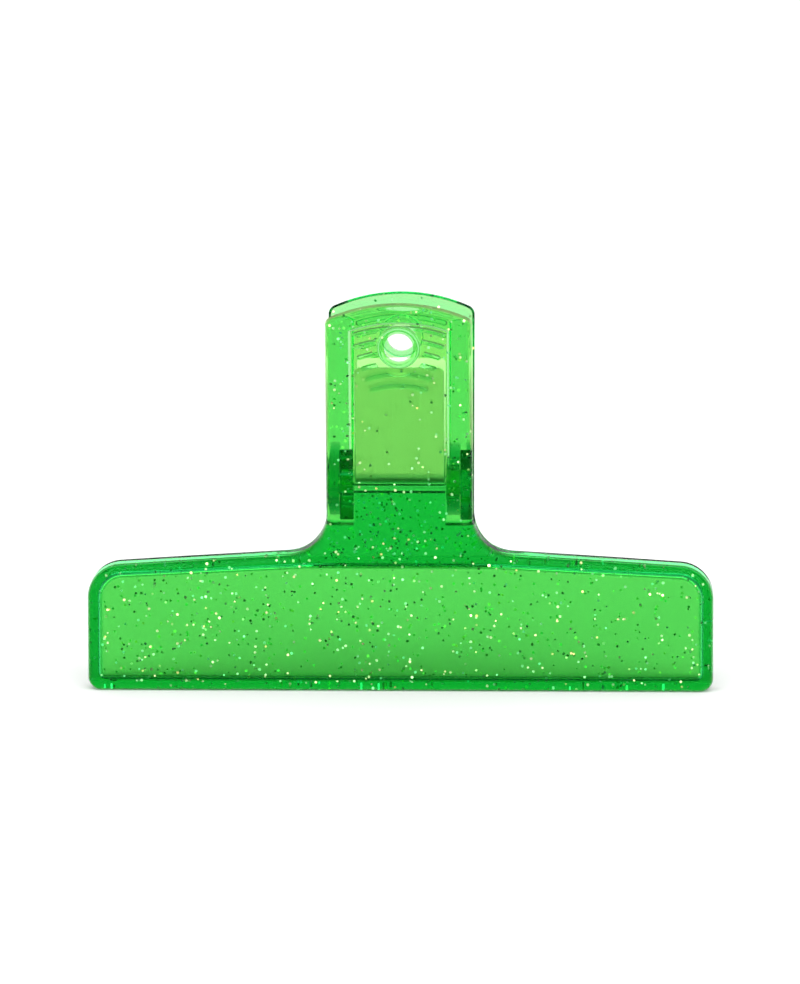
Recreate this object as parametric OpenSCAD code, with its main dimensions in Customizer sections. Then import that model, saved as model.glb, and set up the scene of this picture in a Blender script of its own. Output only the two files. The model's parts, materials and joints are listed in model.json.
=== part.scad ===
// Bag clip: two identical moulded levers, turned back to back, and a steel strip spring.
// Each lever is a wide tray-shaped jaw below and a flared handle above. It has one thin ear with
// a stub axle and one thick ear with a socket, so that each lever's stub turns in the other's
// socket. The spring is a bent strip between the handles, and it keeps the jaws shut.
// The clip stands on the lower edges of its jaws: X along the jaws, Z up, front lever at -Y.

/* [Overall] */
// Length of the jaws
jaw_w = 152; // [120:1:180]
// Height from the jaws' lower edge to the top of the handles
clip_h = 96; // [90:1:110]
// Width of the handles
handle_w = 35.8; // [35:0.2:38]
// Depth of one jaw, from its outer face to the rim that meets the other jaw
jaw_depth = 5; // [4.8:0.1:6]

/* [Jaw outline] */
// Height of the jaw's end, before its corner is rounded
jaw_end_h = 30.6; // [29.6:0.1:31.4]
// Slope of the jaw's upper edge, rising towards the handle, in degrees
jaw_slope = 3.8; // [3:0.1:4.2]
// Radius of the jaw's lower corners
low_corner_r = 3.3; // [3:0.1:5]
// Radius of the jaw's upper corners
high_corner_r = 8.5; // [7:0.5:10]
// Radius of the fillet between the jaw and the handle
waist_r = 10; // [8:0.5:11]

/* [Jaw tray] */
// Thickness of the jaw's outer skin
jaw_skin = 2; // [1.6:0.1:2.4]
// Thickness of the wall around the tray
rim_w = 2.6; // [2.2:0.1:3]
// Height of the tray's inside above the jaw's lower edge, at the middle
tray_top = 30.9; // [30:0.1:31.4]
// Height of the closing rim above the tray
rim_band = 1.9; // [1.5:0.1:2.4]
// Free space between the two jaws' rims
rim_gap = 0.06; // [0.04:0.01:0.2]

/* [Handle] */
// Outward lean of each handle in degrees
flare = 8; // [7:0.5:8]
// Height at which the handle starts to lean
bend_z = 34; // [34:0.5:35]
// Thickness of the handle
handle_t = 2; // [1.8:0.1:2.4]
// Thickness of the solid waist under the spring
waist_t = 4.4; // [4:0.1:4.4]
// Radius of the handle's curved top edge
top_arc_r = 41; // [38:1:60]
// Radius of the handle's top corners
top_corner_r = 2.5; // [1.5:0.1:4]

/* [Grip] */
// Width of the sunken grip panel
panel_w = 22.8; // [20:0.2:24]
// Depth of the grip panel
panel_d = 0.7; // [0.5:0.1:0.9]
// Width of the plain border between the panel and the handle's top edge
panel_border = 5; // [4.5:0.1:6]
// Number of grip ribs
rib_count = 6; // [4:1:6]
// Distance from one rib to the next
rib_pitch = 2.9; // [2.6:0.1:3]
// Width of a rib
rib_w = 1.5; // [1:0.1:1.8]
// Height of a rib above the panel
rib_h = 0.6; // [0.3:0.1:0.7]
// Half the length of the lowest rib
rib_half_l = 7.2; // [6:0.2:8]

/* [Hanging hole] */
// Radius of the hanging hole
hole_r = 3.5; // [2.5:0.1:3.6]
// Height of the hole's centre
hole_z = 85; // [82:0.5:86]
// Outer radius of the collar around the hole
collar_r = 5.2; // [4.8:0.1:5.6]

/* [Hinge] */
// Height of the hinge axis
pivot_z = 51; // [50.5:0.1:51]
// Radius of the stub axles
stub_r = 3.05; // [2.8:0.05:3.05]
// Free space around a stub in its socket
stub_gap = 0.07; // [0.03:0.01:0.1]
// Radius of the ears' rounded ends
ear_r = 4.9; // [4.4:0.1:4.9]
// Half the height of an ear where it leaves the handle
ear_root = 9.3; // [8:0.1:9.3]
// Distance from the middle to the thin ear's outer face
thin_ear_x = 17; // [16.8:0.1:17.2]
// Thickness of the thin ear, which carries the stub
thin_ear_t = 2.3; // [2:0.1:2.4]
// Thickness of the thick ear, which has the socket
socket_ear_t = 3.3; // [3:0.1:3.4]
// Free space between the two ears
ear_gap = 0.2; // [0.1:0.05:0.3]

/* [Spring] */
// Width of the spring strip
strip_w = 21.8; // [18:0.2:21.8]
// Thickness of the spring strip
strip_t = 0.6; // [0.4:0.1:0.7]
// Outer radius of the spring's bend
strip_bend_r = 4.4; // [3.5:0.1:4.4]
// Height of the bend's lowest point
strip_low_z = 50.3; // [50:0.1:51]
// Height of the ends of the spring's legs
strip_top_z = 80; // [70:0.5:80]
// Free space between a leg's end and its handle
strip_gap = 0.1; // [0.05:0.05:0.3]

/* [Hidden] */
$fn = 96;
cut = 1;                // how far a cutting body runs past the face that it cuts
arc_steps = 16;         // straight steps in each rounded corner or bend of an outline
half_jaw = jaw_w / 2;
half_handle = handle_w / 2;
// lengths along the leaning handle, measured from the jaw's lower edge
top_s = along(clip_h, handle_t);
hole_s = along(hole_z, 0);
arc_s = top_s - top_arc_r;
panel_top_r = top_arc_r - panel_border;
panel_low_s = pivot_z + 0.5;
waist_low_s = pivot_z - ear_root - 0.4;
waist_high_s = pivot_z - 1.5;
tray_low_r = 1.8;
tray_high_r = high_corner_r - rim_w;
tray_mid = 23;          // half length of the tray's level upper edge
relief_half = 30;       // half length of the step behind the closing rim
crescent_r = 6.3;
crescent_drop = 0.9;
root_d = 0.4;           // how far ribs and the collar reach into the handle
rib_growth = 1.05;      // each rib is this much longer at both ends than the one below it
rib_low_s = hole_s - 3.35 * rib_pitch;
socket_in = thin_ear_x - thin_ear_t - ear_gap - socket_ear_t;
stub_end = socket_in + 0.1;
strip_mid_z = strip_low_z + strip_bend_r;

function arc(x, y, r, from, to) =
    [for (i = [0:arc_steps]) let (a = from + (to - from) * i / arc_steps) [x + r * cos(a), y + r * sin(a)]];
function mirrored(side) =
    concat(side, [for (i = [len(side) - 1:-1:0]) [-side[i][0], side[i][1]]]);

// angle at which a line from a point touches a circle around zero, on the side that is asked for
function touch_angle(point, r, side) = atan2(point[1], point[0]) + side * acos(r / norm(point));
function on_circle(r, a) = [r * cos(a), r * sin(a)];

// length along the leaning handle of a point at a height, at a depth behind the outer face
function along(z, depth) = bend_z + (z - bend_z + (waist_t - depth) * sin(flare)) / cos(flare);

// faces of the leaning front handle at a height
function outer_y(z) = -jaw_depth + waist_t - waist_t / cos(flare) - (z - bend_z) * tan(flare);
function inner_y(z) = outer_y(z) + handle_t / cos(flare);

// height of the jaw's upper edge at a distance from the middle
function edge_h(x) = jaw_end_h + (half_jaw - x) * tan(jaw_slope);

// right-hand side of the lever's outline, from the bottom middle to the top middle
function lever_side() =
    let (corner_x = half_handle - top_corner_r)
    let (corner_y = arc_s + sqrt(pow(top_arc_r - top_corner_r, 2) - pow(corner_x, 2)))
    let (corner_a = atan2(corner_y - arc_s, corner_x))
    concat(
        arc(half_jaw - low_corner_r, low_corner_r, low_corner_r, -90, 0),
        arc(half_jaw - high_corner_r, edge_h(half_jaw - high_corner_r) - high_corner_r / cos(jaw_slope),
            high_corner_r, 0, 90 - jaw_slope),
        arc(half_handle + waist_r, edge_h(half_handle + waist_r) + waist_r / cos(jaw_slope),
            waist_r, 270 - jaw_slope, 180),
        arc(corner_x, corner_y, top_corner_r, 0, corner_a),
        arc(0, arc_s, top_arc_r, corner_a, 90)
    );

// right-hand side of the tray's inside
function tray_side() =
    let (x = half_jaw - rim_w)
    let (high_x = x - tray_high_r)
    let (high_y = edge_h(high_x) - (rim_w + tray_high_r) / cos(jaw_slope))
    concat(
        arc(x - tray_low_r, rim_w + tray_low_r, tray_low_r, -90, 0),
        arc(high_x, high_y, tray_high_r, 0, 90 - jaw_slope),
        [[tray_mid, tray_top]]
    );

// a flat shape in X and Z, made t thick behind the face y = 0
module slab(t) {
    translate([0, t, 0])
        rotate([90, 0, 0])
            linear_extrude(t)
                children();
}

// everything above the bend leans outwards about a line on the waist's inner face
module leaning() {
    translate([0, waist_t, bend_z])
        rotate([flare, 0, 0])
            translate([0, -waist_t, -bend_z])
                children();
}

module outline_between(low, high, half_w) {
    intersection() {
        polygon(mirrored(lever_side()));
        translate([-half_w, low])
            square([2 * half_w, high - low]);
    }
}

module jaw() {
    difference() {
        slab(jaw_depth - rim_gap / 2)
            outline_between(-cut, bend_z, jaw_w);
        translate([0, jaw_skin, 0])
            slab(jaw_depth)
                polygon(mirrored(tray_side()));
        translate([-relief_half, waist_t, tray_top + rim_band])
            cube([2 * relief_half, jaw_depth, bend_z]);
    }
}

module panel_outline() {
    intersection() {
        translate([-panel_w / 2, panel_low_s])
            square([panel_w, top_s]);
        translate([0, arc_s])
            circle(r = panel_top_r);
    }
}

// one curved rib, standing on the panel
module rib(i) {
    s = rib_low_s + i * rib_pitch;
    r = s - arc_s;
    half_l = min(rib_half_l + i * rib_growth, panel_w / 2);
    half_a = asin(half_l / r);
    translate([0, panel_d, arc_s])
        rotate([90, 0, 0])
            rotate([0, 0, 90 - half_a])
                rotate_extrude(angle = 2 * half_a)
                    translate([r - rib_w / 2, -root_d])
                        square([rib_w, rib_h + root_d]);
}

module at_hole(drop, r, from, to) {
    translate([0, from, hole_s - drop])
        rotate([-90, 0, 0])
            cylinder(r = r, h = to - from);
}

module grip() {
    difference() {
        intersection() {
            union() {
                for (i = [0:rib_count - 1]) rib(i);
            }
            slab(panel_d + root_d)
                panel_outline();
        }
        at_hole(crescent_drop, crescent_r, -cut, panel_d);
    }
    at_hole(0, collar_r, 0, panel_d + root_d);
}

module handle() {
    difference() {
        slab(handle_t)
            outline_between(bend_z, top_s + cut, jaw_w);
        translate([0, -cut, 0])
            slab(panel_d + cut)
                panel_outline();
    }
    grip();
    slab(waist_t)
        outline_between(bend_z, waist_low_s, jaw_w);
    translate([-socket_in, 0, bend_z])
        cube([2 * socket_in - ear_gap, waist_t, waist_high_s - bend_z]);
}

// side view of an ear: it narrows from its root to the rounded end around the axis
module ear_outline() {
    low = [outer_y(pivot_z - ear_root) + handle_t / 2, -ear_root];
    high = [outer_y(pivot_z + ear_root) + handle_t / 2, ear_root];
    circle(r = ear_r);
    polygon([
        low,
        on_circle(ear_r, touch_angle(low, ear_r, 1)),
        on_circle(ear_r, touch_angle(high, ear_r, -1)),
        high,
    ]);
}

// a body along X from one side view in Y and Z, centred on the hinge axis
module along_x(from, to) {
    translate([from, 0, pivot_z])
        rotate([90, 0, 90])
            linear_extrude(to - from)
                children();
}

module thin_ear() {
    along_x(thin_ear_x - thin_ear_t, thin_ear_x)
        ear_outline();
    along_x(stub_end, thin_ear_x - thin_ear_t)
        circle(r = stub_r);
}

module socket_ear() {
    along_x(-socket_in - socket_ear_t, -socket_in)
        difference() {
            ear_outline();
            circle(r = stub_r + stub_gap);
        }
}

// one whole lever, in the front lever's place
module lever() {
    difference() {
        union() {
            translate([0, -jaw_depth, 0]) {
                jaw();
                leaning()
                    handle();
            }
            thin_ear();
            socket_ear();
        }
        translate([0, 0, hole_z])
            rotate([90, 0, 0])
                cylinder(r = hole_r, h = jaw_w);
    }
}

module front_lever() {
    color([0.09, 0.72, 0.25, 0.8])
        lever();
}

module rear_lever() {
    color([0.05, 0.62, 0.2, 0.8])
        rotate([0, 0, 180])
            lever();
}

// A leg runs from the bend, which it touches, to the point where it presses on the handle. Both
// are seen from the side, with the middle of the bend at zero.
leg_tip = [inner_y(strip_top_z) + strip_gap + strip_t / 2, strip_top_z - strip_mid_z];
leg_a = touch_angle(leg_tip, strip_bend_r - strip_t / 2, 1);

// one face of the strip, from the front leg's end down round the bend to the rear leg's end
function strip_face(r, to_side) =
    let (tip = leg_tip + on_circle(to_side * strip_t / 2, leg_a))
    concat([tip], arc(0, 0, r, leg_a, 540 - leg_a), [[-tip[0], tip[1]]]);
function reversed(points) = [for (i = [len(points) - 1:-1:0]) points[i]];

module spring() {
    color([0.78, 0.79, 0.8])
        translate([-strip_w / 2, 0, strip_mid_z])
            rotate([90, 0, 90])
                linear_extrude(strip_w)
                    polygon(concat(
                        strip_face(strip_bend_r, 1),
                        reversed(strip_face(strip_bend_r - strip_t, -1))
                    ));
}

front_lever();
rear_lever();
spring();
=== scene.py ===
"""Bag clip in clear green plastic with glitter: two moulded levers and a bent steel strip.

All shapes are worked out in millimetres and made in metres at the end. A lever is first modelled
flat, with X along the jaw, Y as the depth behind its outer face and Z as the length up the lever.
It is then bent at the waist, and the ears of the hinge are added.
"""

import json
import math
import random

import bmesh
import bpy
from mathutils import Matrix, Vector
from mathutils.bvhtree import BVHTree


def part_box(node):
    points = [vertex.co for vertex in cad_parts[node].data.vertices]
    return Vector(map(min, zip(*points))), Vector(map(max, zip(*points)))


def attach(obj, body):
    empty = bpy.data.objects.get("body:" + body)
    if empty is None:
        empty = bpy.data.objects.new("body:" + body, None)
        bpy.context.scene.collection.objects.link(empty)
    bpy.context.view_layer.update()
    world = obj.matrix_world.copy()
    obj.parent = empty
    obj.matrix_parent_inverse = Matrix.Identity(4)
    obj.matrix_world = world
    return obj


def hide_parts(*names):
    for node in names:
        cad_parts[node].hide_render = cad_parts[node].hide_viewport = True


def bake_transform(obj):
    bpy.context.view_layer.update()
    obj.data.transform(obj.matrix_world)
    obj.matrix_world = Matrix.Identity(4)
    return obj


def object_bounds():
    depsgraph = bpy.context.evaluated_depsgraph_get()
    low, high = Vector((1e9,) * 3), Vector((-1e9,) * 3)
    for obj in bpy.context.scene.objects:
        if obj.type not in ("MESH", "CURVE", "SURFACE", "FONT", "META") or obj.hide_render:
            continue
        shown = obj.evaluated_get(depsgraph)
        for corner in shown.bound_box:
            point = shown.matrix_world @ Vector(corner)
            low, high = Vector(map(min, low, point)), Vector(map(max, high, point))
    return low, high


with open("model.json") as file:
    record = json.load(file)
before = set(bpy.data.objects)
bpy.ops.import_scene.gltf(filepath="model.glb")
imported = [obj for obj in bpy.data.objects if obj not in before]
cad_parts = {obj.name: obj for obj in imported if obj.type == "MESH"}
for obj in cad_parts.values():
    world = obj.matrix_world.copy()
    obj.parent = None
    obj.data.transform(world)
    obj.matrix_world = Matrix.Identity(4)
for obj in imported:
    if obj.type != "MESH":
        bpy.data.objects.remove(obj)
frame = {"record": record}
cad_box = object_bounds()
MM = 0.001

# ---------------------------------------------------------------- sizes, in millimetres and degrees
record = frame["record"]
hinge = record["behaviour"]["joints"][0]
mounts = {m["name"]: m for m in record["mounts"]}
strip_box = [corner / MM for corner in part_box("spring")]

HALF_JAW = cad_box[1].x / MM
CLIP_H = cad_box[1].z / MM
PIVOT_Z = hinge["pos_m"][2] / MM
HOLE_Z = mounts["hang_hole"]["pos_m"][2] / MM
HOLE_R = mounts["hang_hole"]["dims"]["r_mm"]

JAW_DEPTH = 5.0
JAW_SKIN = 2.0
RIM_W = 2.6
RIM_GAP = 0.03
HALF_HANDLE = 17.9
JAW_END_H = 30.6
JAW_SLOPE = math.radians(3.8)
LOW_CORNER_R = 3.3
HIGH_CORNER_R = 8.5
WAIST_R = 10.0
TOP_ARC_R = 41.0
TOP_CORNER_R = 2.5
TRAY_TOP = 30.9
TRAY_MID = 23.0
TRAY_LOW_R = 1.8
TRAY_FLOOR_R = 1.3
RIM_BAND = 1.9
SHOULDER_IN = 30.0
WAIST_REACH = 31.0
LEDGE_ROUND = 0.5

FLARE = math.radians(8)
BEND_Z = 34.0
BEND_HALF = 2.0
HANDLE_T = 2.0
WAIST_T = 4.4
EDGE_R = 2.2
EDGE_DEPTH = 1.3
DRAFT = 0.3
RIM_ROUND = 0.35

PANEL_HALF = 12.2
PANEL_D = 0.7
PANEL_WALL = 0.8
PANEL_BORDER = 4.4
PANEL_CORNER_R = 1.6
PANEL_LIP = 0.15
RIB_COUNT = 6
RIB_PITCH = 2.9
RIB_W = 1.5
RIB_H = 0.62
RIB_HALF_L = 7.2
RIB_GROWTH = 1.05
RIB_MARGIN = 0.9
RIB_LEAN = 0.3
RIB_CORNER_R = 0.16
CRESCENT_R = 6.3
COLLAR_R = 5.2

EAR_R = 4.9
EAR_ROOT = 9.3
THIN_EAR_X = 17.0
THIN_EAR_T = 2.3
EAR_GAP = 0.2
SOCKET_EAR_T = 3.3
STUB_R = 3.05
STUB_GAP = 0.07
STUB_CHAMFER = 0.35
EAR_SOFT = 0.3
SOCKET_IN = THIN_EAR_X - THIN_EAR_T - EAR_GAP - SOCKET_EAR_T

STRIP_T = 0.6
STRIP_BEND_R = 4.4
STRIP_CORNER_R = 1.2

FLAKES_PER_LEVER = 1100
FLAKE_T = 0.024
FLAKE_R = (0.22, 0.38)
FLAKE_LEAN = math.radians(38)
FLAKE_COVER = 0.08
CORNER_COVER = 0.03
GOLD_SHARE = 0.16
ROSE_SHARE = 0.1

ARC_STEPS = 20
ROUND_STEPS = 64
OVERLAP = 0.02
SHARP_ANGLE = math.radians(32)

# ---------------------------------------------------------------- floor, light and camera, in metres
FLOOR_RINGS = (0.5, 2.0, 12.0)
FLOOR_STEPS = 96
CAMERA_FAR = 2.0
FRAME_H = 0.2385455
CAMERA_UP = math.radians(8.2)
CAMERA_ROUND = math.radians(1.9)
CAMERA_ROLL = math.radians(-0.1)
TARGET = (-0.0001, 0.0, 0.0483)
SKY = ((0.0, 1.0), (0.25, 1.1), (0.45, 0.7), (0.8, 0.7), (0.92, 1.1), (1.0, 1.0))
SKY_STRENGTH = 0.98
KEY_FROM = (-0.05, -0.925, 0.376)
KEY_POWER = 3.6
KEY_EDGE = (0.75, 0.92)


def along(z, depth):
    """Length up the flat lever of a point that ends at height z once the handle leans."""
    return BEND_Z + (z - BEND_Z + (WAIST_T - depth) * math.sin(FLARE)) / math.cos(FLARE)


TOP_S = along(CLIP_H, HANDLE_T)
HOLE_S = along(HOLE_Z, 0)
ARC_S = TOP_S - TOP_ARC_R
RIB_LOW_S = HOLE_S - 3.35 * RIB_PITCH
WAIST_LOW_S = PIVOT_Z - EAR_ROOT - 0.4
WAIST_HIGH_S = PIVOT_Z - 1.5
PANEL_LOW_S = PIVOT_Z + 0.5


# ---------------------------------------------------------------- outlines
def arc(x, z, r, start, end, steps=ARC_STEPS):
    """Points on an arc, with angles in radians."""
    turns = [start + (end - start) * i / steps for i in range(steps + 1)]
    return [(x + r * math.cos(a), z + r * math.sin(a)) for a in turns]


def quarter(steps):
    """Angles from 0 to a right angle."""
    return [math.pi / 2 * k / steps for k in range(steps + 1)]


def mirrored(side):
    """The whole outline, from its right-hand side, bottom to top."""
    left = [(-x, z) for x, z in reversed(side) if abs(x) > 1e-9]
    return side + left


def edge_h(x):
    """Height of the jaw's upper edge at a distance from the middle."""
    return JAW_END_H + (HALF_JAW - x) * math.tan(JAW_SLOPE)


def lever_outline(inset):
    """The lever's T shape, drawn in by inset all round."""
    half_pi = math.pi / 2
    slope = math.cos(JAW_SLOPE)
    high_x = HALF_JAW - HIGH_CORNER_R
    waist_x = HALF_HANDLE + WAIST_R
    corner_x = HALF_HANDLE - TOP_CORNER_R
    corner_rise = math.sqrt((TOP_ARC_R - TOP_CORNER_R) ** 2 - corner_x ** 2)
    corner_a = math.atan2(corner_rise, corner_x)
    side = arc(HALF_JAW - LOW_CORNER_R, LOW_CORNER_R, LOW_CORNER_R - inset, -half_pi, 0)
    side += arc(high_x, edge_h(high_x) - HIGH_CORNER_R / slope, HIGH_CORNER_R - inset,
                0, half_pi - JAW_SLOPE)
    side += arc(waist_x, edge_h(waist_x) + WAIST_R / slope, WAIST_R + inset,
                1.5 * math.pi - JAW_SLOPE, math.pi)
    side += arc(corner_x, ARC_S + corner_rise, TOP_CORNER_R - inset, 0, corner_a)
    side += arc(0, ARC_S, TOP_ARC_R - inset, corner_a, half_pi)
    return mirrored(side)


def tray_outline(inset):
    """The inside of the jaw's tray, drawn in by inset."""
    x = HALF_JAW - RIM_W
    high_r = HIGH_CORNER_R - RIM_W
    high_x = x - high_r
    high_z = edge_h(high_x) - (RIM_W + high_r) / math.cos(JAW_SLOPE)
    side = arc(x - TRAY_LOW_R, RIM_W + TRAY_LOW_R, TRAY_LOW_R - inset, -math.pi / 2, 0)
    side += arc(high_x, high_z, high_r - inset, 0, math.pi / 2 - JAW_SLOPE)
    side += [(TRAY_MID, TRAY_TOP - inset)]
    return mirrored(side)


def panel_outline(inset):
    """The grip panel: straight sides, a curved top and rounded lower corners."""
    x = PANEL_HALF
    top_r = TOP_ARC_R - PANEL_BORDER - inset
    top_a = math.acos((x - inset) / top_r)
    side = arc(x - PANEL_CORNER_R, PANEL_LOW_S + PANEL_CORNER_R, PANEL_CORNER_R - inset, -math.pi / 2, 0)
    side += arc(0, ARC_S, top_r, top_a, math.pi / 2)
    return mirrored(side)


# ---------------------------------------------------------------- mesh building
def new_object(name, mesh_data):
    """A mesh object from a bmesh, which is used up."""
    bmesh.ops.recalc_face_normals(mesh_data, faces=mesh_data.faces)
    mesh = bpy.data.meshes.new(name)
    mesh_data.to_mesh(mesh)
    mesh_data.free()
    made = bpy.data.objects.new(name, mesh)
    bpy.context.scene.collection.objects.link(made)
    return made


def loft(name, loops):
    """A closed solid through closed loops of points that match one to one, with flat ends."""
    made = bmesh.new()
    rows = [[made.verts.new(p) for p in loop] for loop in loops]
    count = len(rows[0])
    for low, high in zip(rows, rows[1:]):
        for i in range(count):
            j = (i + 1) % count
            made.faces.new((low[i], low[j], high[j], high[i]))
    made.faces.new(rows[0])
    made.faces.new(list(reversed(rows[-1])))
    return new_object(name, made)


def layer(outline, depth):
    """An outline in X and Z placed at a depth."""
    return [(x, depth, z) for x, z in outline]


def block(name, low, high):
    """A box used for cutting."""
    corners = [(low[0], low[2]), (high[0], low[2]), (high[0], high[2]), (low[0], high[2])]
    return loft(name, [layer(corners, low[1]), layer(corners, high[1])])


def combine(target, tool, operation):
    """Joins, cuts or keeps what two solids share; the tool is used up."""
    change = target.modifiers.new("combine", "BOOLEAN")
    change.operation = operation
    change.solver = "MANIFOLD"
    change.object = tool
    bpy.context.view_layer.update()
    graph = bpy.context.evaluated_depsgraph_get()
    mesh = bpy.data.meshes.new_from_object(target.evaluated_get(graph))
    target.modifiers.clear()
    old = target.data
    target.data = mesh
    bpy.data.meshes.remove(old)
    bpy.data.objects.remove(tool)
    return target


def rounded_slab(name, outer_depth, depth):
    """A slab with a round along its outer edge, drafted sides and a small round inside."""
    loops = []
    for a in quarter(9):
        level = outer_depth * (1 - math.cos(a))
        inset = DRAFT + (EDGE_R - DRAFT) * (1 - math.sin(a))
        loops.append(layer(lever_outline(inset), level))
    return loft(name, loops + inner_edge(outer_depth, depth, 0))


def inner_edge(start, depth, lap):
    """The drafted side from start down to the small round at the inner face."""
    loops = []
    levels = [(start + (depth - RIM_ROUND - start) * k / 6, 0) for k in range(1, 6)]
    levels += [(depth - RIM_ROUND * (1 - math.sin(a)), RIM_ROUND * (1 - math.cos(a)))
               for a in quarter(4)]
    for level, corner in levels:
        slope = DRAFT * (depth - level) / (depth - start)
        loops.append(layer(lever_outline(lap + slope + corner), level))
    return loops


def inner_slab(name, start, depth):
    """The part of a drafted slab that stands in from a depth inside the outer wall."""
    first = layer(lever_outline(OVERLAP + DRAFT), start)
    return loft(name, [first] + inner_edge(start, depth, OVERLAP))


def flat_lever():
    """The lever before it is bent, without its ears."""
    far = 200.0
    hidden = EDGE_DEPTH + OVERLAP
    rim_depth = JAW_DEPTH - RIM_GAP
    lever = rounded_slab("lever", EDGE_DEPTH, HANDLE_T)

    jaw = inner_slab("jaw", hidden, rim_depth)
    combine(jaw, block("below", (-far, -far, -far), (far, far, TRAY_TOP + RIM_BAND)), "INTERSECT")
    shoulders = inner_slab("shoulders", hidden, rim_depth)
    combine(shoulders, block("upper", (-far, -far, TRAY_TOP), (far, far, BEND_Z)), "INTERSECT")
    combine(shoulders, block("middle", (-SHOULDER_IN, -far, 0), (SHOULDER_IN, far, far)), "DIFFERENCE")
    waist = inner_slab("waist", hidden, WAIST_T)
    under = block("under", (-WAIST_REACH, -far, TRAY_TOP), (WAIST_REACH, far, WAIST_LOW_S))
    combine(waist, under, "INTERSECT")
    ledge = [(-SOCKET_IN, BEND_Z), (SOCKET_IN - EAR_GAP, BEND_Z),
             (SOCKET_IN - EAR_GAP, WAIST_HIGH_S), (-SOCKET_IN, WAIST_HIGH_S)]
    lower = [(x, min(z, WAIST_HIGH_S - LEDGE_ROUND)) for x, z in ledge]
    seat = loft("seat", [layer(ledge, hidden), layer(ledge, WAIST_T - LEDGE_ROUND), layer(lower, WAIST_T)])
    for part in (jaw, shoulders, waist, seat):
        combine(lever, part, "UNION")

    combine(lever, pocket(rim_depth), "DIFFERENCE")
    combine(lever, panel(), "DIFFERENCE")
    return lever


def pocket(rim_depth):
    """The space of the jaw's tray: a round along its floor, upright sides and a flared mouth."""
    wall = JAW_SKIN + TRAY_FLOOR_R
    wall_h = rim_depth - RIM_ROUND - wall
    levels = [(JAW_SKIN + TRAY_FLOOR_R * (1 - math.cos(a)), TRAY_FLOOR_R * (1 - math.sin(a)))
              for a in quarter(6)]
    levels += [(wall + wall_h * k / 4, 0) for k in range(1, 4)]
    levels += [(rim_depth - RIM_ROUND * (1 - math.sin(a)), -RIM_ROUND * (1 - math.cos(a)))
               for a in quarter(4)]
    levels.append((rim_depth + 1, -RIM_ROUND))
    return loft("pocket", [layer(tray_outline(inset), level) for level, inset in levels])


def panel():
    """The space of the sunken grip panel, with a soft slope along its edge."""
    loops = [layer(panel_outline(-PANEL_LIP), -1), layer(panel_outline(-PANEL_LIP), 0)]
    steps = 4
    for k in range(steps + 1):
        t = k / steps
        ease = t * t * (3 - 2 * t)
        outline = panel_outline(0.9 * t * PANEL_WALL + OVERLAP)
        loops.append(layer(outline, OVERLAP + (PANEL_D - OVERLAP) * ease))
    return loft("panel", loops)


def rib_section(scale):
    """Cross-section of a rib, outwards and deep: steep sides, a flat back and soft corners."""
    half_w = RIB_W / 2 * scale
    top = RIB_H * scale
    r = min(RIB_CORNER_R, 0.3 * half_w, 0.9 * top)
    lean = RIB_LEAN * scale
    section = []
    for side in (1, -1):
        corner = [(side * (half_w - lean - r + r * math.sin(t)), PANEL_D - top + r - r * math.cos(t))
                  for t in quarter(5)]
        corner.append((side * half_w, PANEL_D + 0.3))
        section += corner if side < 0 else list(reversed(corner))
    return section


def rib(index):
    """One curved rib with rounded ends."""
    r = RIB_LOW_S + index * RIB_PITCH - ARC_S
    half_l = min(RIB_HALF_L + index * RIB_GROWTH, PANEL_HALF - RIB_MARGIN)
    half_a = half_l / r
    cap_a = RIB_W / 2 / r
    steps = 28
    cap_steps = 7
    caps = quarter(cap_steps)[1:-1]
    stations = [(half_a - cap_a + cap_a * math.cos(t), math.sin(t)) for t in caps]
    middle = [((half_a - cap_a) * (1 - 2 * i / steps), 1.0) for i in range(steps + 1)]
    stations = stations + middle + [(-a, scale) for a, scale in reversed(stations)]
    loops = [[((r + out) * math.sin(a), depth, ARC_S + (r + out) * math.cos(a))
              for out, depth in rib_section(scale)] for a, scale in stations]
    return loft(f"rib_{index}", loops)


def turned(name, profile, place):
    """A solid of revolution from (radius, height) points; place moves it from the Z axis."""
    made = bmesh.new()
    rings = []
    for k in range(ROUND_STEPS):
        a = 2 * math.pi * k / ROUND_STEPS
        rings.append([made.verts.new((r * math.cos(a), r * math.sin(a), h)) for r, h in profile])
    count = len(profile)
    for k in range(ROUND_STEPS):
        here, after = rings[k], rings[(k + 1) % ROUND_STEPS]
        for i in range(count):
            j = (i + 1) % count
            made.faces.new((here[i], after[i], after[j], here[j]))
    bmesh.ops.remove_doubles(made, verts=made.verts, dist=1e-5)
    bmesh.ops.transform(made, matrix=place, verts=made.verts)
    return new_object(name, made)


def disc(name, radius, height, place):
    """A plain round bar for cutting, from height 0 to height."""
    made = bmesh.new()
    turns = [2 * math.pi * k / ROUND_STEPS for k in range(ROUND_STEPS)]
    loops = [[made.verts.new((radius * math.cos(a), radius * math.sin(a), h)) for a in turns]
             for h in (0, height)]
    for i in range(ROUND_STEPS):
        j = (i + 1) % ROUND_STEPS
        made.faces.new((loops[0][i], loops[0][j], loops[1][j], loops[1][i]))
    made.faces.new(loops[0])
    made.faces.new(loops[1])
    bmesh.ops.transform(made, matrix=place, verts=made.verts)
    return new_object(name, made)


def into_depth(z, depth=0.0):
    """Places a turned solid with its axis along the depth, at a length z."""
    return Matrix.Translation((0, depth, z)) @ Matrix.Rotation(-math.pi / 2, 4, "X")


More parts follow.
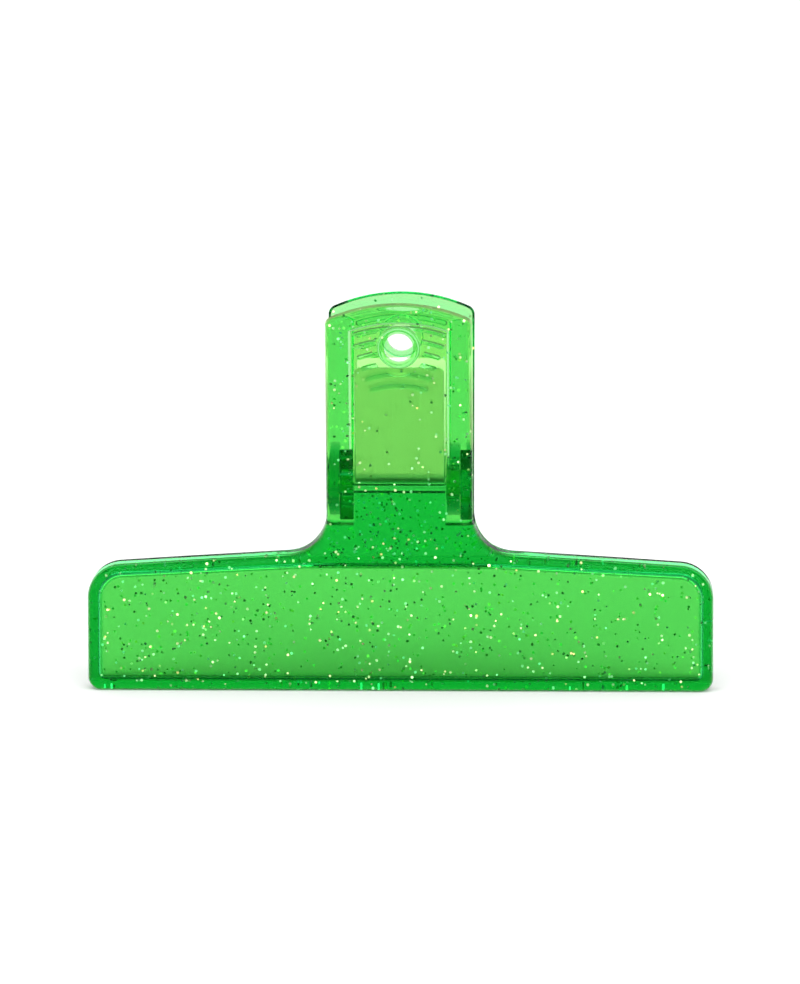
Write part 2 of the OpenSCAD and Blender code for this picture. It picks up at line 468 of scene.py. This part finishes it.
def add_grip(lever):
    """Ribs, their clear crescent, and the collar round the hanging hole."""
    ribs = rib(0)
    for index in range(1, RIB_COUNT):
        combine(ribs, rib(index), "UNION")
    combine(ribs, disc("crescent", CRESCENT_R, 4, into_depth(HOLE_S - 0.9, -2)), "DIFFERENCE")
    combine(lever, ribs, "UNION")
    profile = [(1.0, 1.2), (COLLAR_R + 0.15, 1.2), (COLLAR_R + 0.1, 0.62), (COLLAR_R - 0.05, 0.32),
               (COLLAR_R - 0.3, 0.12), (COLLAR_R - 0.65, 0.03), (COLLAR_R - 0.95, 0.1),
               (COLLAR_R - 1.15, 0.24), (1.0, 0.3)]
    combine(lever, turned("collar", profile, into_depth(HOLE_S)), "UNION")


def bend(lever):
    """Leans everything above the waist outwards, round a short smooth bend."""
    mesh_data = bmesh.new()
    mesh_data.from_mesh(lever.data)
    low, high = BEND_Z - BEND_HALF, BEND_Z + BEND_HALF
    rows = 8
    for k in range(rows + 1):
        level = low + (high - low) * k / rows
        everything = mesh_data.verts[:] + mesh_data.edges[:] + mesh_data.faces[:]
        bmesh.ops.bisect_plane(mesh_data, geom=everything, dist=1e-5,
                               plane_co=(0, 0, level), plane_no=(0, 0, 1))
    for vert in mesh_data.verts:
        vert.co = bent(vert.co)
    mesh_data.to_mesh(lever.data)
    mesh_data.free()


def bent(point):
    """Where a point of the flat lever ends up."""
    x, depth, s = point
    low, high = BEND_Z - BEND_HALF, BEND_Z + BEND_HALF
    if s <= low:
        return Vector((x, depth - JAW_DEPTH, s))
    radius = (high - low) / FLARE
    a = min((s - low) / (high - low), 1.0) * FLARE
    rest = max(s - high, 0.0)
    y = -radius * (1 - math.cos(a)) - rest * math.sin(a)
    z = low + radius * math.sin(a) + rest * math.cos(a)
    deep = depth - WAIST_T
    return Vector((x, y + deep * math.cos(a) + WAIST_T - JAW_DEPTH, z + deep * math.sin(a)))


def handle_y(z, depth):
    """Y of a plane inside the leaning handle, at a height."""
    shift = WAIST_T - (WAIST_T - depth) / math.cos(FLARE)
    return -JAW_DEPTH + shift - (z - BEND_Z) * math.tan(FLARE)


def touch(point, r, side):
    """Angle at which a line from a point touches a circle round zero."""
    return math.atan2(point[1], point[0]) + side * math.acos(r / math.hypot(*point))


def ear_outline(inset):
    """Side view of an ear, Y and Z from the hinge axis."""
    r = EAR_R - inset
    low = (handle_y(PIVOT_Z - EAR_ROOT, 1.0), -EAR_ROOT + inset)
    high = (handle_y(PIVOT_Z + EAR_ROOT, 1.0), EAR_ROOT - inset)
    return [low] + arc(0, 0, r, touch(low, r, 1), touch(high, r, -1), 28) + [high]


def ear(name, start, end):
    """An ear from one X to another, with softened edges."""
    near = 0.3 * EAR_SOFT
    sections = ((start, EAR_SOFT), (start + near, near), (start + EAR_SOFT, 0),
                (end - EAR_SOFT, 0), (end - near, near), (end, EAR_SOFT))
    return loft(name, [[(x, y, PIVOT_Z + z) for y, z in ear_outline(inset)] for x, inset in sections])


def add_hinge(lever):
    """The thin ear with its stub on the right, and the thick ear with its socket on the left."""
    thin_in = THIN_EAR_X - THIN_EAR_T
    combine(lever, ear("thin_ear", thin_in, THIN_EAR_X), "UNION")
    along_x = Matrix.Translation((0, 0, PIVOT_Z)) @ Matrix.Rotation(math.pi / 2, 4, "Y")
    stub_end = SOCKET_IN + 0.1
    root = thin_in + 0.8
    profile = [(0, stub_end), (STUB_R - STUB_CHAMFER, stub_end), (STUB_R - 0.1, stub_end + 0.12),
               (STUB_R, stub_end + STUB_CHAMFER), (STUB_R, root), (0, root)]
    combine(lever, turned("stub", profile, along_x), "UNION")
    thick = ear("socket_ear", -SOCKET_IN - SOCKET_EAR_T, -SOCKET_IN)
    socket_place = Matrix.Translation((-SOCKET_IN - SOCKET_EAR_T - 1, 0, 0)) @ along_x
    combine(thick, disc("socket", STUB_R + STUB_GAP, SOCKET_EAR_T + 2, socket_place), "DIFFERENCE")
    combine(lever, thick, "UNION")


def drill(lever):
    """The hanging hole, straight along Y."""
    outer = -handle_y(HOLE_Z, 0.05)
    place = Matrix.Translation((0, 0, HOLE_Z)) @ Matrix.Rotation(math.pi / 2, 4, "X")
    combine(lever, disc("hole", HOLE_R, 3 * outer, place), "DIFFERENCE")


def smooth(obj):
    """Smooth shading that keeps true corners sharp and flats flat."""
    mesh = obj.data
    for face in mesh.polygons:
        face.use_smooth = True
    mesh.set_sharp_from_angle(angle=SHARP_ANGLE)
    weigh = obj.modifiers.new("flat_faces", "WEIGHTED_NORMAL")
    weigh.keep_sharp = True
    weigh.weight = 80


def to_metres(obj, turn):
    """Turns about Z and scales from millimetres, in the mesh itself."""
    obj.data.transform(Matrix.Scale(MM, 4) @ Matrix.Rotation(turn, 4, "Z"))


def clean(obj):
    """Merges the doubled points that joining leaves."""
    mesh_data = bmesh.new()
    mesh_data.from_mesh(obj.data)
    bmesh.ops.remove_doubles(mesh_data, verts=mesh_data.verts, dist=1e-4)
    bmesh.ops.dissolve_degenerate(mesh_data, edges=mesh_data.edges, dist=1e-4)
    bmesh.ops.recalc_face_normals(mesh_data, faces=mesh_data.faces)
    mesh_data.to_mesh(obj.data)
    mesh_data.free()


def make_lever():
    """The whole lever in the front place, still in millimetres."""
    lever = flat_lever()
    add_grip(lever)
    bend(lever)
    add_hinge(lever)
    drill(lever)
    clean(lever)
    return lever


# ---------------------------------------------------------------- spring strip
def strip_path():
    """Centre line of the strip in Y and Z with its outward normal, front end to rear end."""
    low_z = strip_box[0].z
    top_z = strip_box[1].z - 0.1
    mid_z = low_z + STRIP_BEND_R
    line_r = STRIP_BEND_R - STRIP_T / 2
    tip = (strip_box[0].y + STRIP_T / 2, top_z - mid_z)
    a = touch(tip, line_r, 1)
    foot = (line_r * math.cos(a), line_r * math.sin(a))
    normal = (math.cos(a), math.sin(a))
    length = math.dist(tip, foot)
    leg_steps = 12
    bend_steps = 40
    steps = [STRIP_CORNER_R * (1 - math.cos(t)) / length for t in quarter(8)]
    steps += [steps[-1] + (1 - steps[-1]) * i / leg_steps for i in range(1, leg_steps)]
    leg = [((tip[0] + (foot[0] - tip[0]) * t, tip[1] + (foot[1] - tip[1]) * t), normal) for t in steps]
    turns = [a + (3 * math.pi - 2 * a) * i / bend_steps for i in range(bend_steps + 1)]
    bend_points = [((line_r * math.cos(t), line_r * math.sin(t)), (math.cos(t), math.sin(t)))
                   for t in turns]
    back = [((-y, z), (-ny, nz)) for (y, z), (ny, nz) in reversed(leg)]
    return [((y, z + mid_z), n) for (y, z), n in leg + bend_points + back]


def make_strip():
    """The strip as one closed mesh, with rounded edges and rounded corners at its ends."""
    half_w = strip_box[1].x
    half_t = STRIP_T / 2 - 0.01
    corner = STRIP_CORNER_R
    edge_steps = 6
    path = strip_path()
    lengths = [0.0]
    for (p, _), (q, _) in zip(path, path[1:]):
        lengths.append(lengths[-1] + math.dist(p, q))
    total = lengths[-1]
    loops = []
    for (point, normal), done in zip(path, lengths):
        near_end = min(done, total - done)
        pull = corner - math.sqrt(max(corner ** 2 - max(corner - near_end, 0) ** 2, 0))
        w = half_w - pull
        section = []
        for side in (1, -1):
            for k in range(edge_steps + 1):
                t = -math.pi / 2 + math.pi * k / edge_steps
                across = side * (w - half_t + half_t * math.cos(t))
                through = side * half_t * math.sin(t)
                section.append((across, through))
        loops.append([(x, point[0] + normal[0] * out, point[1] + normal[1] * out) for x, out in section])
    return loft("spring_strip", loops)


# ---------------------------------------------------------------- glitter
def flake_corners(pick, point, normal, radius):
    """The two hexagons of one flake; most lie nearly along the nearest face, a few lean away."""
    lean = FLAKE_LEAN * pick.random() ** 2
    facing = normal.copy()
    axis = normal.orthogonal().normalized()
    axis.rotate(Matrix.Rotation(pick.uniform(0, 2 * math.pi), 3, normal))
    facing.rotate(Matrix.Rotation(lean, 3, axis))
    side = facing.orthogonal().normalized()
    other = facing.cross(side)
    spin = pick.uniform(0, math.pi)
    rings = []
    for level in (-FLAKE_T / 2, FLAKE_T / 2):
        turns = [spin + k * math.pi / 3 for k in range(6)]
        rings.append([point + facing * level + (side * math.cos(a) + other * math.sin(a)) * radius
                      for a in turns])
    return rings


def glitter(name, lever, count, seed):
    """Thin six-sided flakes lying at random inside a lever's walls.

    Known fault: where the nearest point is on a sharp edge, a point outside can pass for one inside.
    Six flakes of the two levers hang in the air beside the handle, 11 to 13 mm from any plastic.
    """
    pick = random.Random(seed)
    tree = BVHTree.FromObject(lever, bpy.context.evaluated_depsgraph_get())
    low = Vector(lever.bound_box[0])
    high = Vector(lever.bound_box[6])
    made = bmesh.new()
    placed = 0

    def depth_inside(point):
        near, normal, _, _ = tree.find_nearest(point)
        return (near - point).dot(normal)

    while placed < count:
        point = Vector([pick.uniform(low[i], high[i]) for i in range(3)])
        radius = pick.uniform(*FLAKE_R)
        near, normal, _, _ = tree.find_nearest(point)
        if (near - point).dot(normal) < FLAKE_COVER:
            continue
        corners = flake_corners(pick, point, normal, radius)
        if min(depth_inside(corner) for ring in corners for corner in ring) < CORNER_COVER:
            continue
        rings = [[made.verts.new(corner) for corner in ring] for ring in corners]
        shade = pick.random()
        tint = 1 if shade < GOLD_SHARE else 2 if shade < GOLD_SHARE + ROSE_SHARE else 0
        faces = [made.faces.new(rings[0]), made.faces.new(list(reversed(rings[1])))]
        for k in range(6):
            j = (k + 1) % 6
            faces.append(made.faces.new((rings[0][k], rings[0][j], rings[1][j], rings[1][k])))
        for face in faces:
            face.material_index = tint
        placed += 1
    return new_object(name, made)


# ---------------------------------------------------------------- materials
def material(name):
    """A new node material and its main shader."""
    made = bpy.data.materials.new(name)
    made.use_nodes = True
    return made, made.node_tree, made.node_tree.nodes["Principled BSDF"]


def add_bump(tree, shader, scale, strength, distance, detail=3.0):
    """Fine unevenness from noise in the object's own space; gives the noise and its coordinates."""
    coords = tree.nodes.new("ShaderNodeTexCoord")
    noise = tree.nodes.new("ShaderNodeTexNoise")
    noise.inputs["Scale"].default_value = scale
    noise.inputs["Detail"].default_value = detail
    bump = tree.nodes.new("ShaderNodeBump")
    bump.inputs["Strength"].default_value = strength
    bump.inputs["Distance"].default_value = distance
    tree.links.new(coords.outputs["Object"], noise.inputs["Vector"])
    tree.links.new(noise.outputs["Fac"], bump.inputs["Height"])
    tree.links.new(bump.outputs["Normal"], shader.inputs["Normal"])
    return coords, noise


def clear_green(name):
    """Clear tinted plastic: the colour is in its depth, so thick walls are deeper green."""
    made, tree, shader = material(name)
    shader.inputs["Base Color"].default_value = (0.93, 0.92, 0.43, 1)
    shader.inputs["Transmission Weight"].default_value = 1.0
    shader.inputs["IOR"].default_value = 1.49
    shader.inputs["Specular Tint"].default_value = (0.06, 0.36, 0.14, 1)
    _, noise = add_bump(tree, shader, 90, 0.12, 0.0004)
    smudge = tree.nodes.new("ShaderNodeMapRange")
    smudge.inputs["To Min"].default_value = 0.03
    smudge.inputs["To Max"].default_value = 0.075
    tree.links.new(noise.outputs["Fac"], smudge.inputs["Value"])
    tree.links.new(smudge.outputs["Result"], shader.inputs["Roughness"])
    depth_tint = tree.nodes.new("ShaderNodeVolumeAbsorption")
    depth_tint.inputs["Color"].default_value = (0.05, 0.858, 0.66, 1)
    depth_tint.inputs["Density"].default_value = 620
    output = tree.nodes["Material Output"]
    tree.links.new(depth_tint.outputs["Volume"], output.inputs["Volume"])
    return made


def steel(name):
    """Bright rolled strip with fine lines along its length."""
    made, tree, shader = material(name)
    shader.inputs["Base Color"].default_value = (0.93, 0.89, 0.84, 1)
    shader.inputs["Metallic"].default_value = 1.0
    coords, noise = add_bump(tree, shader, 60, 0.15, 0.0002, 5)
    stretch = tree.nodes.new("ShaderNodeMapping")
    stretch.inputs["Scale"].default_value = (40, 1, 1)
    tree.links.new(coords.outputs["Object"], stretch.inputs["Vector"])
    tree.links.new(stretch.outputs["Vector"], noise.inputs["Vector"])
    gloss = tree.nodes.new("ShaderNodeMapRange")
    gloss.inputs["To Min"].default_value = 0.36
    gloss.inputs["To Max"].default_value = 0.5
    tree.links.new(noise.outputs["Fac"], gloss.inputs["Value"])
    tree.links.new(gloss.outputs["Result"], shader.inputs["Roughness"])
    return made


def flake(name, color):
    """Metallised film, slightly uneven from flake to flake."""
    made, tree, shader = material(name)
    shader.inputs["Metallic"].default_value = 1.0
    coords = tree.nodes.new("ShaderNodeTexCoord")
    noise = tree.nodes.new("ShaderNodeTexNoise")
    noise.inputs["Scale"].default_value = 400
    tree.links.new(coords.outputs["Object"], noise.inputs["Vector"])
    blend_color = tree.nodes.new("ShaderNodeMix")
    blend_color.data_type = "RGBA"
    blend_color.inputs["A"].default_value = (*[0.86 * c for c in color], 1)
    blend_color.inputs["B"].default_value = (*color, 1)
    tree.links.new(noise.outputs["Fac"], blend_color.inputs["Factor"])
    tree.links.new(blend_color.outputs["Result"], shader.inputs["Base Color"])
    shader.inputs["Roughness"].default_value = 0.3
    return made


# ---------------------------------------------------------------- the object
plastic = clear_green("clear_green_plastic")
strip_steel = steel("strip_steel")
flakes = [flake("silver_flake", (1.0, 1.0, 0.98)), flake("gold_flake", (1.0, 0.86, 0.55)),
          flake("rose_flake", (1.0, 0.78, 0.74))]

front = make_lever()
front.name = "front_lever_clear"
rear = front.copy()
rear.data = front.data.copy()
rear.name = "rear_lever_clear"
bpy.context.scene.collection.objects.link(rear)

bpy.context.view_layer.update()
front_glitter = glitter("front_glitter", front, FLAKES_PER_LEVER, 11)
rear_glitter = glitter("rear_glitter", rear, FLAKES_PER_LEVER, 23)
strip = make_strip()

for piece, turn in ((front, 0), (rear, math.pi), (front_glitter, 0), (rear_glitter, math.pi), (strip, 0)):
    to_metres(piece, turn)
for piece in (front, rear):
    piece.data.materials.clear()
    piece.data.materials.append(plastic)
    smooth(piece)
smooth(strip)
strip.data.materials.append(strip_steel)
for piece in (front_glitter, rear_glitter):
    for finish in flakes:
        piece.data.materials.append(finish)

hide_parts("front_lever")
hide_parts("rear_lever")
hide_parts("spring")
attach(front, "front_half")
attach(rear, "rear_half")
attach(front_glitter, "front_half")
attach(rear_glitter, "rear_half")
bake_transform(strip)


# ---------------------------------------------------------------- floor, light and camera
def backdrop():
    """A wide pale floor that runs out past every view."""
    made = bmesh.new()
    turns = [2 * math.pi * k / FLOOR_STEPS for k in range(FLOOR_STEPS)]
    rings = [[made.verts.new((r * math.cos(a), r * math.sin(a), 0)) for a in turns] for r in FLOOR_RINGS]
    made.faces.new(rings[0])
    for inner, outer in zip(rings, rings[1:]):
        for k in range(FLOOR_STEPS):
            made.faces.new((inner[k], inner[k - 1], outer[k - 1], outer[k]))
    floor = new_object("floor", made)
    paint, tree, shader = material("pale_floor")
    shader.inputs["Base Color"].default_value = (0.93, 0.93, 0.93, 1)
    shader.inputs["Roughness"].default_value = 0.8
    shader.inputs["Specular IOR Level"].default_value = 0.1
    add_bump(tree, shader, 300, 0.05, 0.0002)
    floor.data.materials.append(paint)


def direction(azimuth, elevation):
    """Unit vector from the object towards an azimuth, counted from the front, and an elevation."""
    level = math.cos(elevation)
    return Vector((math.sin(azimuth) * level, -math.cos(azimuth) * level, math.sin(elevation)))


def far_light(name, azimuth, elevation, width, power):
    """A large soft light far away, so that the floor is evenly lit; its angles are in degrees."""
    lamp = bpy.data.lights.new(name, "SUN")
    lamp.energy = power
    lamp.angle = math.radians(width)
    made = bpy.data.objects.new(name, lamp)
    source = direction(math.radians(azimuth), math.radians(elevation))
    made.rotation_euler = source.to_track_quat("Z", "Y").to_euler()
    bpy.context.scene.collection.objects.link(made)


def camera():
    """A long lens, a little above the object and a little to the right."""
    lens = bpy.data.cameras.new("camera")
    lens.sensor_width = 36
    lens.lens = lens.sensor_width * CAMERA_FAR / FRAME_H
    made = bpy.data.objects.new("camera", lens)
    bpy.context.scene.collection.objects.link(made)
    bpy.context.scene.camera = made
    back = direction(CAMERA_ROUND, CAMERA_UP)
    made.location = Vector(TARGET) + back * CAMERA_FAR
    turn = (-back).to_track_quat("-Z", "Y").to_matrix() @ Matrix.Rotation(CAMERA_ROLL, 3, "Z")
    made.rotation_euler = turn.to_euler()


def grey(value):
    """A neutral colour."""
    return value, value, value, 1


def sky(world):
    """White walls, a light overhead, a dimmer ceiling, and a large soft light near the camera."""
    tree = world.node_tree
    coords = tree.nodes.new("ShaderNodeTexCoord")
    split = tree.nodes.new("ShaderNodeSeparateXYZ")
    level = tree.nodes.new("ShaderNodeValToRGB")
    ramp = level.color_ramp
    ramp.interpolation = "EASE"
    ramp.elements[0].color = grey(SKY[0][1])
    ramp.elements[1].color = grey(SKY[-1][1])
    for stop, value in SKY[1:-1]:
        ramp.elements.new(stop).color = grey(value)
    tree.links.new(coords.outputs["Generated"], split.inputs["Vector"])
    tree.links.new(split.outputs["Z"], level.inputs["Fac"])
    near = tree.nodes.new("ShaderNodeVectorMath")
    near.operation = "DOT_PRODUCT"
    near.inputs[1].default_value = KEY_FROM
    patch = tree.nodes.new("ShaderNodeMapRange")
    patch.interpolation_type = "SMOOTHSTEP"
    patch.inputs["From Min"].default_value = KEY_EDGE[0]
    patch.inputs["From Max"].default_value = KEY_EDGE[1]
    patch.inputs["To Max"].default_value = KEY_POWER
    total = tree.nodes.new("ShaderNodeMath")
    total.operation = "ADD"
    tree.links.new(coords.outputs["Generated"], near.inputs[0])
    tree.links.new(near.outputs["Value"], patch.inputs["Value"])
    tree.links.new(level.outputs["Color"], total.inputs[0])
    tree.links.new(patch.outputs["Result"], total.inputs[1])
    tree.links.new(total.outputs["Value"], tree.nodes["Background"].inputs["Color"])


def studio():
    """White surroundings and soft light."""
    scene = bpy.context.scene
    world = bpy.data.worlds.new("studio")
    scene.world = world
    world.use_nodes = True
    world.node_tree.nodes["Background"].inputs["Strength"].default_value = SKY_STRENGTH
    sky(world)
    far_light("front_right", azimuth=32, elevation=34, width=30, power=0.4)
    scene.view_settings.view_transform = "Standard"
    scene.cycles.max_bounces = 24
    scene.cycles.transmission_bounces = 24
    scene.cycles.diffuse_bounces = 4
    scene.cycles.glossy_bounces = 12


backdrop()
camera()
studio()
